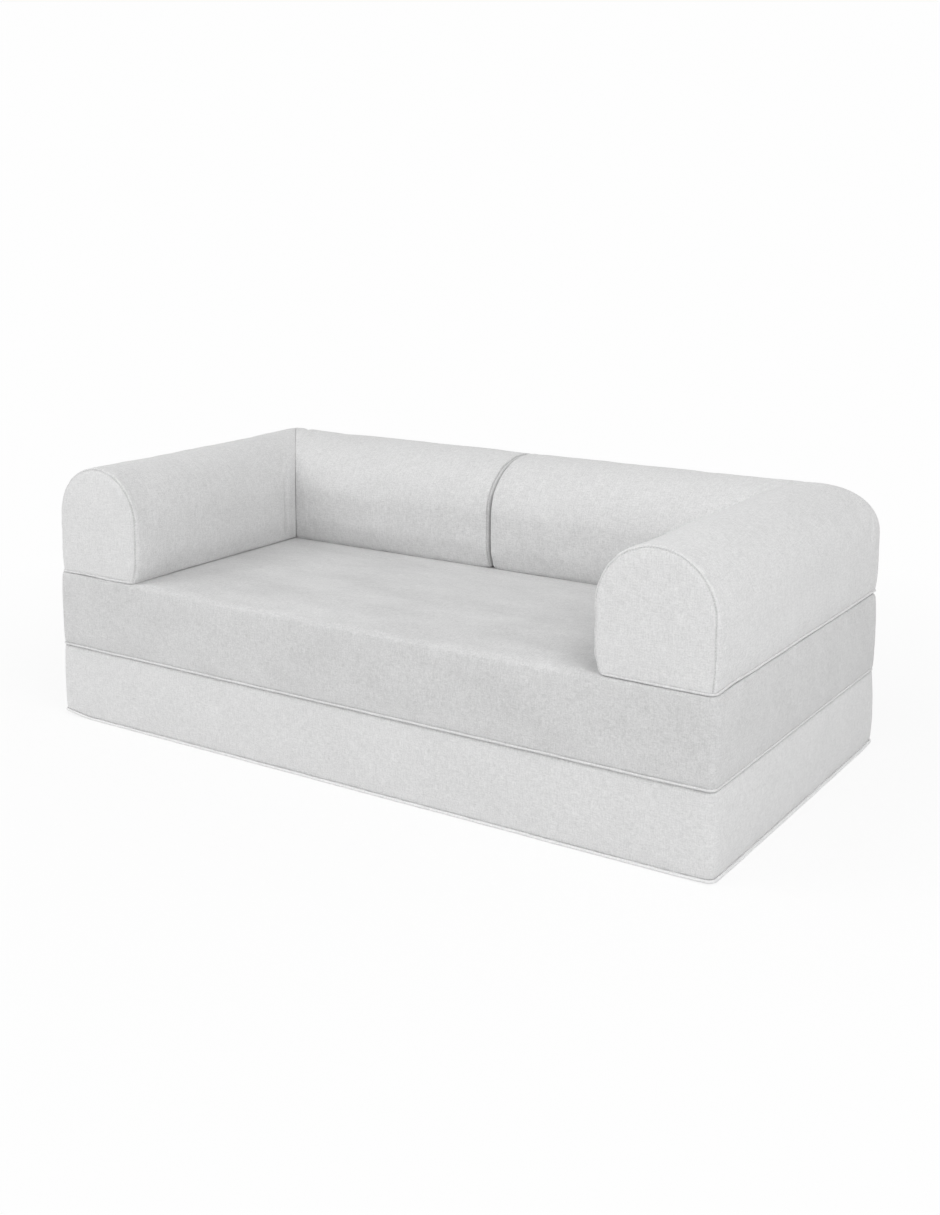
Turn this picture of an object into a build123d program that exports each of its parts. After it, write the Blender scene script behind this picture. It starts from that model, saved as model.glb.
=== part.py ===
"""Foam sofa bed: two stacked foam mattresses that fold out to one bed, and two L-shaped bolsters with half-round tops.

Millimetres, +Z up, front of the sofa towards -Y. The origin is on the floor, under the middle of the mattresses.
Each mattress and each bolster is a foam core in a zipped fabric cover. The lower mattress stays on the floor. The
upper one turns forwards about the welt in the front seam. Each bolster hangs on a fabric hinge at the upper
mattress's rear top edge.
"""

import os
from math import sqrt

from build123d import *

# Mattresses
sofa_width = 1900.0
sofa_depth = 1000.0
mattress_height = 200.0
corner_radius = 36.0
top_edge_radius = 20.0
seam_edge_radius = 16.0
floor_edge_radius = 14.0
fold_edge_radius = 12.0
mattress_bulge = 2.5
crown_height = 8.0
crown_margin = 5.0

# Bolsters
bolster_height = 300.0
base_inset = 14.0
arm_base_width = 248.0
back_base_depth = 311.0
side_bulge = 18.0
foot_height = 32.0
end_radius = 14.0
end_seam_depth = 3.0
centre_gap = 6.0
arm_setback = 3.0
base_lip = 4.0

# Fabric, foam and the small distances between pieces
cover_thickness = 2.0
clearance = 0.3
stack_gap = 0.6
overrun = 60.0

# Welts and fabric hinges
floor_welt_radius = 3.5
fold_welt_radius = 4.5
bolster_welt_radius = 3.5
floor_welt_lift = 0.7
fold_axis_proud = 3.0
back_axis_proud = 11.0
hinge_cord_radius = 3.5
hinge_tape_thickness = 0.5
hinge_tape_clearance = 0.05
fold_tape_reach = 24.0
back_tape_reach = 22.0
fold_hinge_margin = 50.0
back_hinge_outer_margin = 56.0
back_hinge_centre_margin = 37.0

# Zips
mattress_zip_margin = 100.0
bolster_zip_outer_margin = 88.0
bolster_zip_centre_margin = 45.0
bolster_zip_height = 56.0
mattress_zip_height = 48.0
tape_thickness = 0.8
tape_width = 14.0
tape_gap = 0.6
tape_setback = 0.6
neck_width = 2.4
neck_height = 1.5
chain_width = 5.6
chain_thickness = 2.2
stop_width = 8.0
stop_length = 3.0
slider_length = 13.0
slider_width = 9.4
slider_wall = 1.4
slider_clearance = 0.3
slot_half_height = 5.4
ear_length = 3.0
ear_thickness = 1.2
ear_gap = 4.4
pin_radius = 0.7
pin_height = 2.2
eye_radius = 1.9
eye_clearance = 0.3
pull_length = 30.0
pull_width = 8.0
pull_thickness = 1.2
pull_neck_width = 3.8
pull_neck_length = 5.0

# Crown of the seat: how far in as shares of the clear seat's depth, and how high as shares of the crown's height
crown_shares = ((0.0, 0.0), (0.12, 0.52), (0.24, 0.86), (0.36, 1.0))
crown_corner_share = 0.09

# Places worked out from the sizes above
half_width = sofa_width / 2
half_depth = sofa_depth / 2
fold_level = mattress_height
upper_low = fold_level + stack_gap
seat_level = 2 * mattress_height
bolster_low = stack_gap
fold_axis_y = -half_depth - fold_axis_proud
back_axis_y = half_depth + back_axis_proud
back_stretch = back_base_depth / arm_base_width
arm_outer_x = -half_width + base_inset
arm_inner_x = arm_outer_x + arm_base_width
back_outer_y = half_depth - base_inset
back_inner_y = back_outer_y - back_base_depth
centre_end_x = -centre_gap / 2
mattress_zip_half = half_width - mattress_zip_margin
foam_inset = cover_thickness + clearance
arm_front_y = -half_depth + arm_setback
# The bolster's half-round top springs from its shoulder. The foot's arc runs from the base edge to the flank.
body_radius = arm_base_width / 2 + side_bulge
shoulder_height = bolster_height - body_radius
foot_rise = foot_height - bolster_low
foot_radius = (side_bulge**2 + foot_rise**2) / (2 * side_bulge)
foot_middle = body_radius - foot_radius
# How far the end's rounding has drawn the end back where the base is cut flat
end_middle_height = foot_height - foot_radius + end_radius
end_tuck = end_radius - sqrt(end_radius**2 - (end_middle_height - bolster_low) ** 2)
mitre_plane = Plane(
    origin=(arm_outer_x, back_outer_y, seat_level),
    x_dir=(0, 0, 1),
    z_dir=(back_base_depth, arm_base_width, 0),
)
# Section planes of a bolster's two ends: the arm's front end and the back's centre end
arm_middle_x = (arm_outer_x + arm_inner_x) / 2
back_middle_y = (back_outer_y + back_inner_y) / 2
arm_end_plane = Plane(origin=(arm_middle_x, arm_front_y, seat_level), x_dir=(1, 0, 0), z_dir=(0, -1, 0))
back_end_plane = Plane(origin=(centre_end_x, back_middle_y, seat_level), x_dir=(0, 1, 0), z_dir=(1, 0, 0))

os.makedirs("parts", exist_ok=True)


def save(part, name):
    """Labels a finished piece and writes it as its own node."""
    part.label = name
    export_step(part, f"parts/{name}.step")


def round_ring(profile, half_x, front, back, radius):
    """Runs a profile round a rounded rectangle: a quarter turn at each corner, then the straight side after it.

    The profile is drawn from a corner's centre outwards, with its height upwards.
    """
    right, left = half_x - radius, radius - half_x
    near, far = front + radius, back - radius
    sides = (
        ((right, near), (1, 0), far - near),
        ((right, far), (0, 1), right - left),
        ((left, far), (-1, 0), far - near),
        ((left, near), (0, -1), right - left),
    )
    with BuildPart() as ring:
        for (x, y), (out_x, out_y), run in sides:
            with BuildSketch(Plane(origin=(x, y, 0), x_dir=(out_x, out_y, 0), z_dir=(out_y, -out_x, 0))) as side:
                add(profile)
            extrude(amount=-run)
            revolve(side.sketch, axis=Axis((x, y, 0), (0, 0, 1)), revolution_arc=-90)
    return ring.part


def mattress_block(low, high, bottom_radius, top_radius, inset):
    """Foam mattress form: rounded corners and edges, with sides that swell a little between their seams."""
    radius = corner_radius - inset
    bottom = low + bottom_radius
    top = high - top_radius
    with BuildSketch() as side:
        with BuildLine():
            Polyline((radius - bottom_radius, low), (0, low), (0, high), (radius - top_radius, high))
            CenterArc((radius - top_radius, top), top_radius, 0, 90)
            ThreePointArc((radius, top), (radius + mattress_bulge, (top + bottom) / 2), (radius, bottom))
            CenterArc((radius - bottom_radius, bottom), bottom_radius, 270, 90)
        make_face()
    with BuildPart() as block:
        add(round_ring(side.sketch, half_width - inset, inset - half_depth, half_depth - inset, radius))
        with BuildSketch(Plane.XY.offset(low)):
            Rectangle(sofa_width - 2 * corner_radius, sofa_depth - 2 * corner_radius)
        extrude(amount=high - low)
    return block.part


def seat_crown(level):
    """Soft rise of the seat between the bolsters, on a flat face at the given level."""
    half_x = -arm_inner_x - bolster_welt_radius * 2 - crown_margin
    front = -half_depth + top_edge_radius
    back = back_inner_y - bolster_welt_radius * 2 - crown_margin
    with BuildPart() as crown:
        for inward_share, rise_share in crown_shares:
            inward = inward_share * (back - front)
            with BuildSketch(Plane.XY.offset(level + rise_share * crown_height)):
                with Locations((0, (front + back) / 2)):
                    RectangleRounded(
                        2 * (half_x - inward), back - front - 2 * inward, crown_corner_share * (back - front)
                    )
        loft(ruled=True)
    return crown.part


def side_face(height, low, high, bottom_radius, top_radius):
    """How far the mattress's side stands out at one height, by the chord rule of its shallow arc."""
    bottom = low + bottom_radius
    top = high - top_radius
    share = (2 * height - top - bottom) / (top - bottom)
    return mattress_bulge * (1 - share * share)


def mattress_cover(low, high, bottom_radius, top_radius, crowned):
    """Fabric shell over a mattress, open at the bottom for its base panel and at the back for its zip."""
    zip_level = low + mattress_zip_height
    face = half_depth + side_face(zip_level, low, high, bottom_radius, top_radius)
    inner_low = low + cover_thickness
    inner_high = high - cover_thickness
    inner_bottom = bottom_radius - cover_thickness
    inner_top = top_radius - cover_thickness
    with BuildPart() as cover:
        add(mattress_block(low, high, bottom_radius, top_radius, 0))
        if crowned:
            add(seat_crown(high))
        add(mattress_block(inner_low, inner_high, inner_bottom, inner_top, cover_thickness), mode=Mode.SUBTRACT)
        if crowned:
            add(seat_crown(inner_high), mode=Mode.SUBTRACT)
        with BuildSketch(Plane.XY.offset(low)):
            RectangleRounded(
                sofa_width - 2 * bottom_radius, sofa_depth - 2 * bottom_radius, corner_radius - bottom_radius
            )
        extrude(amount=cover_thickness, mode=Mode.SUBTRACT)
        add(zip_slot(-mattress_zip_half, mattress_zip_half, face, zip_level), mode=Mode.SUBTRACT)
    return cover.part


def mattress_core(low, high, bottom_radius, top_radius, crowned):
    """Foam block that fills a cover, with a shallow groove behind the zip's tapes."""
    zip_level = low + mattress_zip_height
    face = half_depth + side_face(zip_level, low, high, bottom_radius, top_radius)
    inner_high = high - foam_inset
    with BuildPart() as core:
        add(mattress_block(low + foam_inset, inner_high, bottom_radius - foam_inset, top_radius - foam_inset, foam_inset))
        if crowned:
            add(seat_crown(inner_high))
        add(zip_groove(-mattress_zip_half, mattress_zip_half, face, zip_level), mode=Mode.SUBTRACT)
    return core.part


def mattress_base(low, bottom_radius):
    """Flat panel that closes a mattress cover from below."""
    inset = bottom_radius + clearance
    with BuildPart() as panel:
        with BuildSketch(Plane.XY.offset(low)):
            RectangleRounded(sofa_width - 2 * inset, sofa_depth - 2 * inset, corner_radius - inset)
        extrude(amount=cover_thickness)
    return panel.part


def welt_loop(half_x, front, back, radius, level):
    """Round piping in a closed rounded rectangle."""
    with BuildSketch() as cord:
        with Locations((corner_radius, level)):
            Circle(radius)
    return round_ring(cord.sketch, half_x, front, back, corner_radius)


def strip(x_from, x_to, y_from, y_to, low, high):
    """Straight flat strip along the sofa's width."""
    with BuildPart() as tape:
        with BuildSketch(Plane.YZ.offset(x_from)):
            with BuildLine():
                Polyline((y_from, low), (y_to, low), (y_to, high), (y_from, high), close=True)
            make_face()
        extrude(amount=x_to - x_from)
    return tape.part


def zip_face(face):
    """Outer face of a zip's tapes, just inside the cover's wall, which is thickest on a bolster's back."""
    return face - back_stretch * cover_thickness - tape_setback


def zip_slot(x_from, x_to, face, level):
    """The slot in a cover's wall that a zip fills."""
    return strip(
        x_from - stop_length,
        x_to + stop_length,
        zip_face(face),
        face + cover_thickness,
        level - slot_half_height,
        level + slot_half_height,
    )


def zip_groove(x_from, x_to, face, level):
    """The dent that a zip's tapes press into the foam."""
    half_height = tape_width + tape_gap
    return strip(
        x_from - stop_length,
        x_to + stop_length,
        zip_face(face) - tape_thickness - clearance,
        face + cover_thickness,
        level - half_height,
        level + half_height,
    )


def zip_tapes(x_from, x_to, face, level):
    """The zip's two woven tapes, one above and one below its chain."""
    middle = zip_face(face) - tape_thickness / 2
    reach = (tape_gap + tape_width) / 2
    with BuildPart() as tapes:
        with BuildSketch(Plane.YZ.offset(x_from)):
            with Locations((middle, level - reach), (middle, level + reach)):
                Rectangle(tape_thickness, tape_width)
        extrude(amount=x_to - x_from)
    return tapes.part


def zip_chain(x_from, x_to, face, level):
    """The closed coil on its sewn neck, with a stop at each end."""
    foot = zip_face(face)
    head = foot + neck_height
    tip = head + chain_thickness
    with BuildPart() as chain:
        with BuildSketch(Plane.YZ.offset(x_from)):
            with Locations(((foot + head) / 2, level)):
                Rectangle(neck_height, neck_width)
            with Locations(((head + tip) / 2, level)):
                Rectangle(chain_thickness, chain_width)
        extrude(amount=x_to - x_from)
        for start in (x_from, x_to - stop_length):
            with BuildSketch(Plane.YZ.offset(start)):
                with Locations(((foot + tip) / 2, level)):
                    Rectangle(tip - foot, stop_width)
            extrude(amount=stop_length)
    return chain.part


def zip_slider(x_middle, face, level):
    """Slider that grips the coil's head, with two ears and the pin that carries the pull."""
    foot = zip_face(face)
    head = foot + neck_height
    tip = head + chain_thickness
    low = foot + slider_clearance
    roof = tip + slider_clearance
    high = roof + slider_wall
    pin = high + pin_height
    ear_reach = (ear_gap + ear_thickness) / 2
    with BuildPart() as slider:
        with BuildSketch(Plane.YZ.offset(x_middle - slider_length / 2)):
            with Locations(((low + high) / 2, level)):
                Rectangle(high - low, slider_width)
            with Locations(((head - slider_clearance + roof) / 2, level)):
                Rectangle(roof - head + slider_clearance, chain_width + 2 * slider_clearance, mode=Mode.SUBTRACT)
            with Locations(((low + head) / 2, level)):
                Rectangle(head - low, neck_width + 2 * slider_clearance, mode=Mode.SUBTRACT)
        extrude(amount=slider_length)
        for side in (-1, 1):
            with BuildSketch(Plane.XY.offset(level + side * ear_reach)):
                with Locations((x_middle, (high + pin) / 2)):
                    Rectangle(ear_length, pin - high)
                with Locations((x_middle, pin)):
                    Circle(ear_length / 2)
            extrude(amount=ear_thickness / 2, both=True)
        with BuildSketch(Plane.XY.offset(level)):
            with Locations((x_middle, pin)):
                Circle(pin_radius)
        extrude(amount=ear_reach, both=True)
    return slider.part


def zip_pull(x_middle, face, level, way):
    """Pull tab, lying along the zip, with an eye round the slider's pin."""
    pin = zip_face(face) + neck_height + chain_thickness + slider_clearance + slider_wall + pin_height
    tab_length = pull_length - pull_neck_length
    with BuildPart() as pull:
        with BuildSketch(Plane.XY.offset(level)):
            with Locations((x_middle, pin)):
                Circle(eye_radius)
            with Locations((x_middle + way * pull_neck_length / 2, pin)):
                Rectangle(pull_neck_length, pull_thickness)
            with Locations((x_middle, pin)):
                Circle(pin_radius + eye_clearance, mode=Mode.SUBTRACT)
        extrude(amount=pull_neck_width / 2, both=True)
        with BuildSketch(Plane.XZ.offset(-pin)):
            with Locations((x_middle + way * (pull_neck_length + tab_length / 2), level)):
                RectangleRounded(tab_length, pull_width, pull_thickness)
        extrude(amount=pull_thickness / 2, both=True)
    return pull.part


def bolster_section(inset):
    """Bolster section about its middle line: flat base line, round foot arcs, upright flanks, half-round top.

    The base line lies a little below the base, where the bolster is cut flat later.
    """
    top_radius = body_radius - inset
    arc_radius = foot_radius - inset
    foot_bottom = foot_height - arc_radius
    with BuildSketch() as section:
        with BuildLine():
            Line((-foot_middle, foot_bottom), (foot_middle, foot_bottom))
            CenterArc((foot_middle, foot_height), arc_radius, -90, 90)
            Line((top_radius, foot_height), (top_radius, shoulder_height))
            CenterArc((0, shoulder_height), top_radius, 0, 180)
            Line((-top_radius, shoulder_height), (-top_radius, foot_height))
            CenterArc((-foot_middle, foot_height), arc_radius, 180, 90)
        make_face()
    return section.sketch


def bolster_bar(plane, stretch, inset, low):
    """One limb of a bolster, from its rounded end at the plane to past the mitre, cut flat at its base."""
    with BuildPart() as bar:
        with BuildSketch(Plane.XY.offset(-inset)):
            add(bolster_section(inset))
        extrude(amount=-(half_width + overrun))
        fillet(bar.faces().sort_by(Axis.Z)[-1].edges(), radius=end_radius - inset)
        scale(by=(stretch, 1, 1))
    with BuildPart() as placed:
        with Locations(plane):
            add(bar.part)
        split(bisect_by=Plane.XY.offset(seat_level + low), keep=Keep.TOP)
    return placed.part


def base_opening(plane, stretch, margin, low, high):
    """Flat slab in a limb's base, set in from its base edges by the margin, to past the mitre."""
    width = stretch * (arm_base_width - 2 * margin)
    with BuildPart() as opening:
        with BuildSketch(plane.offset(-end_tuck - margin)):
            with Locations((0, (low + high) / 2)):
                Rectangle(width, high - low)
        extrude(amount=-(half_width + overrun))
    return opening.part


# Each limb keeps its own side of the mitre.
limbs = {
    "arm": (arm_end_plane, 1, Keep.BOTTOM),
    "back": (back_end_plane, back_stretch, Keep.TOP),
}


bolster_zip_level = seat_level + bolster_zip_height
bolster_zip_face = back_outer_y + back_stretch * side_bulge
bolster_zip_to = centre_end_x - bolster_zip_centre_margin
bolster_zip_from = arm_outer_x + bolster_zip_outer_margin
bolster_zip = (bolster_zip_from, bolster_zip_to, bolster_zip_face, bolster_zip_level)


def limb_shell(limb):
    """Fabric shell of one limb, with its end, cut at the mitre and open below."""
    plane, stretch, kept = limbs[limb]
    with BuildPart() as shell:
        add(bolster_bar(plane, stretch, 0, bolster_low))
        add(bolster_bar(plane, stretch, cover_thickness, bolster_low + cover_thickness), mode=Mode.SUBTRACT)
        add(base_opening(plane, stretch, base_lip, 0, bolster_low + cover_thickness), mode=Mode.SUBTRACT)
        if limb == "back":
            add(zip_slot(*bolster_zip), mode=Mode.SUBTRACT)
        split(bisect_by=mitre_plane, keep=kept)
    return shell.part


def limb_cover(limb):
    """Sleeve of one limb, up to the seam of its end panel."""
    plane = limbs[limb][0]
    with BuildPart() as cover:
        add(limb_shell(limb))
        split(bisect_by=plane.offset(-end_seam_depth), keep=Keep.BOTTOM)
    return cover.part


def limb_end_panel(limb):
    """Half-round end panel of one limb."""
    plane = limbs[limb][0]
    with BuildPart() as panel:
        add(limb_shell(limb))
        split(bisect_by=plane.offset(-end_seam_depth), keep=Keep.TOP)
    return panel.part


def limb_core(limb):
    """Foam block of one limb, cut at the mitre, where the two are glued."""
    plane, stretch, kept = limbs[limb]
    with BuildPart() as core:
        add(bolster_bar(plane, stretch, foam_inset, bolster_low + foam_inset))
        if limb == "back":
            add(zip_groove(*bolster_zip), mode=Mode.SUBTRACT)
        split(bisect_by=mitre_plane, keep=kept)
    return core.part


def limb_base(limb):
    """Flat base panel of one limb."""
    plane, stretch, kept = limbs[limb]
    with BuildPart() as panel:
        add(base_opening(plane, stretch, base_lip + clearance, bolster_low, bolster_low + cover_thickness))
        split(bisect_by=mitre_plane, keep=kept)
    return panel.part


# The bolster's welt lies under its round foot: outwards of the base's edges, and in front of the rounded end.
welt_reach = bolster_welt_radius + clearance
welt_height = bolster_low + bolster_welt_radius
foot_span = foot_radius + welt_reach
end_span = end_radius + welt_reach
welt_out = sqrt(foot_span**2 - (foot_height - welt_height) ** 2) + side_bulge - foot_radius
welt_ahead = sqrt(end_span**2 - (end_middle_height - welt_height) ** 2) - end_radius
welt_outer_x = arm_outer_x - welt_out
welt_inner_x = arm_inner_x + welt_out
welt_outer_y = back_outer_y + back_stretch * welt_out
welt_inner_y = back_inner_y - back_stretch * welt_out
welt_front_y = arm_front_y - welt_ahead


def arm_welt():
    """Piping round the arm's base: along its outer side, across its front and back along its inner side."""
    level = seat_level + welt_height
    past_mitre = half_depth + overrun
    with BuildPart() as welt:
        with BuildLine(Plane.XY.offset(level)) as path:
            FilletPolyline(
                (welt_outer_x, past_mitre),
                (welt_outer_x, welt_front_y),
                (welt_inner_x, welt_front_y),
                (welt_inner_x, past_mitre),
                radius=end_span,
            )
        with BuildSketch(Plane(origin=path.line @ 0, z_dir=path.line % 0)) as ring:
            Circle(bolster_welt_radius)
        sweep(sections=ring.sketch, path=path.line)
        split(bisect_by=mitre_plane, keep=Keep.BOTTOM)
    return welt.part


def back_welt():
    """Piping along the back's rear and inner base edges, up to the rounding of its centre end."""
    level = seat_level + welt_height
    with BuildPart() as welt:
        with BuildSketch(Plane.YZ.offset(centre_end_x - end_radius)):
            with Locations((welt_outer_y, level), (welt_inner_y, level)):
                Circle(bolster_welt_radius)
        extrude(amount=-half_width)
        split(bisect_by=mitre_plane, keep=Keep.TOP)
    return welt.part


def hinge_cord(x_from, x_to):
    """Cord in the fold of a bolster's hinge."""
    with BuildPart() as cord:
        with BuildSketch(Plane.YZ.offset(x_from)):
            with Locations((back_axis_y, seat_level)):
                Circle(hinge_cord_radius)
        extrude(amount=x_to - x_from)
    return cord.part


def mirrored(part):
    """The right-hand twin of a left-hand piece."""
    with BuildPart() as twin:
        mirror(part, about=Plane.YZ)
    return twin.part


def edge_line(edge_radius, drop):
    """How far inside the face a rounded top edge has dropped by a small distance."""
    return edge_radius - sqrt(edge_radius**2 - (edge_radius - drop) ** 2)


# Lower mattress
lower_sizes = (0, fold_level, floor_edge_radius, seam_edge_radius)
save(mattress_cover(*lower_sizes, False), "lower_cover")
save(mattress_core(*lower_sizes, False), "lower_core")
save(mattress_base(0, floor_edge_radius), "lower_base_panel")

floor_welt_level = floor_welt_radius + floor_welt_lift
floor_welt_span = floor_edge_radius + floor_welt_radius + clearance
floor_welt_out = sqrt(floor_welt_span**2 - (floor_edge_radius - floor_welt_level) ** 2) - floor_edge_radius
floor_welt_half = half_depth + floor_welt_out
save(
    welt_loop(half_width + floor_welt_out, -floor_welt_half, floor_welt_half, floor_welt_radius, floor_welt_level),
    "lower_base_welt",
)

# Upper mattress, whose base welt is also the cord of the front hinge
upper_sizes = (upper_low, seat_level, fold_edge_radius, top_edge_radius)
save(mattress_cover(*upper_sizes, True), "upper_cover")
save(mattress_core(*upper_sizes, True), "upper_core")
save(mattress_base(upper_low, fold_edge_radius), "upper_base_panel")
save(welt_loop(half_width, fold_axis_y, half_depth, fold_welt_radius, fold_level), "upper_base_welt")

# Fabric hinge in the front seam, one tape on each mattress
fold_tape_front = fold_axis_y + fold_welt_radius + clearance
lower_tape_drop = hinge_tape_thickness + 2 * hinge_tape_clearance
lower_tape_back = -half_depth + edge_line(seam_edge_radius, lower_tape_drop)
fold_lower_top = fold_level - hinge_tape_clearance
fold_upper_low = fold_level + hinge_tape_clearance
half_hinge = half_width - fold_hinge_margin
save(
    strip(
        -half_hinge, half_hinge, fold_tape_front, lower_tape_back, fold_lower_top - hinge_tape_thickness, fold_lower_top
    ),
    "fold_hinge_tape_lower",
)
save(
    strip(
        -half_hinge,
        half_hinge,
        fold_tape_front,
        -half_depth + fold_tape_reach,
        fold_upper_low,
        fold_upper_low + hinge_tape_thickness,
    ),
    "fold_hinge_tape_upper",
)

# Zips of the two mattresses, on their rear faces
for name, sizes in (("lower", lower_sizes), ("upper", upper_sizes)):
    level = sizes[0] + mattress_zip_height
    face = half_depth + side_face(level, *sizes)
    ends = (-mattress_zip_half, mattress_zip_half)
    slider_x = ends[0] + stop_length + clearance + slider_length / 2
    save(zip_tapes(*ends, face, level), f"{name}_zip_tapes")
    save(zip_chain(*ends, face, level), f"{name}_zip_chain")
    save(zip_slider(slider_x, face, level), f"{name}_zip_slider")
    save(zip_pull(slider_x, face, level, 1), f"{name}_zip_pull")

# Left bolster, with its zip and its hinge, and the right bolster as its mirror image
bolster = {}
for limb in limbs:
    bolster[f"{limb}_core"] = limb_core(limb)
    bolster[f"{limb}_cover"] = limb_cover(limb)
    bolster[f"{limb}_end_panel"] = limb_end_panel(limb)
    bolster[f"{limb}_base_panel"] = limb_base(limb)
bolster["arm_welt"] = arm_welt()
bolster["back_welt"] = back_welt()

bolster_slider_x = bolster_zip_from + stop_length + clearance + slider_length / 2
bolster["zip_tapes"] = zip_tapes(*bolster_zip)
bolster["zip_chain"] = zip_chain(*bolster_zip)
bolster["zip_slider"] = zip_slider(bolster_slider_x, bolster_zip_face, bolster_zip_level)
bolster["zip_pull"] = zip_pull(bolster_slider_x, bolster_zip_face, bolster_zip_level, 1)

hinge_to = centre_end_x - back_hinge_centre_margin
hinge_from = arm_outer_x + back_hinge_outer_margin
back_tape_edge = back_axis_y - hinge_cord_radius - clearance
slab_tape_drop = hinge_tape_thickness + 2 * hinge_tape_clearance
slab_tape_front = half_depth - edge_line(top_edge_radius, slab_tape_drop)
slab_tape_top = seat_level - hinge_tape_clearance
bolster_tape_low = seat_level + hinge_tape_clearance
bolster["hinge_cord"] = hinge_cord(hinge_from, hinge_to)
bolster["hinge_tape_seat"] = strip(
    hinge_from, hinge_to, slab_tape_front, back_tape_edge, slab_tape_top - hinge_tape_thickness, slab_tape_top
)
bolster["hinge_tape_back"] = strip(
    hinge_from,
    hinge_to,
    half_depth - back_tape_reach,
    back_tape_edge,
    bolster_tape_low,
    bolster_tape_low + hinge_tape_thickness,
)

for piece, part in bolster.items():
    save(part, f"left_{piece}")
    save(mirrored(part), f"right_{piece}")

print("fold axis: y", fold_axis_y, "z", fold_level)
print("back hinge axis: y", back_axis_y, "z", seat_level)
print("bolster zip: y", round(bolster_zip_face, 2), "z", round(bolster_zip_level, 2))
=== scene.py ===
"""Looks of the foam sofa bed: padded covers, piping, seams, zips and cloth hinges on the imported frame.

Shapes are worked out in millimetres and made in metres, in the frame's own axes: +X right, +Y back, +Z up.
"""

import math

import bpy
import bmesh
import numpy as np
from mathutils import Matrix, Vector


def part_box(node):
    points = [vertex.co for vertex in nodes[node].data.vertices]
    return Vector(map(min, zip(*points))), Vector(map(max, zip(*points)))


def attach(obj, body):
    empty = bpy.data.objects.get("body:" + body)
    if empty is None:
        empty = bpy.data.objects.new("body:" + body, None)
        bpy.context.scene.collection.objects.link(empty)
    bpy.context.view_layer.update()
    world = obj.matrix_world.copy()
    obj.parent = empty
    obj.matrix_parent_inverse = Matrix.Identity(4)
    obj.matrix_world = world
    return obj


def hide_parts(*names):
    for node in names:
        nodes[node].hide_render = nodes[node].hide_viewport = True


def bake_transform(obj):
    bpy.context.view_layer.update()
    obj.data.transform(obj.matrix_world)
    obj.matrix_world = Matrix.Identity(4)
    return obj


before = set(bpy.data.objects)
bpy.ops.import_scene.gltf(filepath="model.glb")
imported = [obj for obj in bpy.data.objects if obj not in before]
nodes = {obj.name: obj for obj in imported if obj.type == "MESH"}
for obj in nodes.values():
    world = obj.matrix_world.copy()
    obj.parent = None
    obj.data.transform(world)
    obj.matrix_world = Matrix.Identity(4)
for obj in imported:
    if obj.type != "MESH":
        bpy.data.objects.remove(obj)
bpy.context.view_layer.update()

MM = 0.001
TINY = 1e-9
SWELL_FRAMES = 20

# Mattresses: a little fuller at the sides, with tighter corners, than their solids
HALF_X, HALF_Y, CORNER = 957.0, 500.0, 18.0
FOLD_LEVEL, STACK_GAP, SEAT_LEVEL = 200.0, 0.6, 400.0
# radii of their edges: at the floor, below and above the seam, at the seat and beneath the bolsters
FLOOR_EDGE, SEAM_EDGE, FOLD_EDGE, TOP_EDGE, PRESSED_EDGE = 14.0, 11.0, 6.0, 15.0, 9.0
SIDE_FOLD_EDGE = 9.0
SIDE_BULGE = 2.5
# the open seat between the arms, how high it is crowned, and over what distance
SEAT_HALF, SEAT_BACK, CROWN, CROWN_FADE = 676.0, 163.0, 8.0, 240.0
# how far a held point may move in the simulation, and how much further a free one may
SWELL_FIXED, MATTRESS_SWELL, BOLSTER_SWELL = 0.1, 3.0, 3.4
ZIP_HALF, ZIP_HEIGHT, SLOT_HALF = 850.0, 48.0, 5.4
# smoothing moves the slots' ends out to those of the zips
SLOT_SHORT, BOLSTER_SLOT_SHORT = 3.0, 0.5
MATTRESS_HEM = 3.4
# the lower mattress's corners: which one, and how far it stands off the floor
CORNER_LIFTS = ((-1, -1, 9.0), (1, -1, 2.0), (1, 1, 5.0), (-1, 1, 4.0))
LIFT_REACH, LIFT_HEIGHT = 120.0, 80.0

# Bolsters, as in the CAD source
ARM_X, BACK_Y, STRETCH = -812.0, 330.5, 311.0 / 248.0
ARM_FRONT, CENTRE_END = -497.0, -3.0
BODY_RADIUS, SHOULDER = 142.0, 158.0
BASE_LOW = 0.6
END_RADIUS, CENTRE_RADIUS, SEAM_DEPTH = 14.0, 10.0, 3.0
BOLSTER_ZIP = (-848.0, -48.0)
BOLSTER_ZIP_HEIGHT, BOLSTER_HEM = 56.0, 4.0

FOLD_AXIS = (-503.0, 200.0)
BACK_AXIS = (511.0, 400.0)


# ---------------------------------------------------------------- small tools


def waves(points, length, seed, count=14):
    """Smooth wandering values about zero, about one in size, with bumps about the given length apart."""
    rng = np.random.default_rng(seed)
    ways = rng.normal(size=(count, 3))
    ways /= np.linalg.norm(ways, axis=1)[:, None]
    turns = 2 * math.pi / length * rng.uniform(0.7, 1.4, count)
    return np.cos(points @ (ways.T * turns) + rng.uniform(0, 2 * math.pi, count)).sum(1) * math.sqrt(2 / count)


def ease(value):
    """Smooth step from 0 to 1."""
    t = np.clip(value, 0, 1)
    return t * t * (3 - 2 * t)


def bell(value, width):
    """Bump of 1 at 0 that fades over the width."""
    return np.exp(-((value / width) ** 2))


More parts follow.
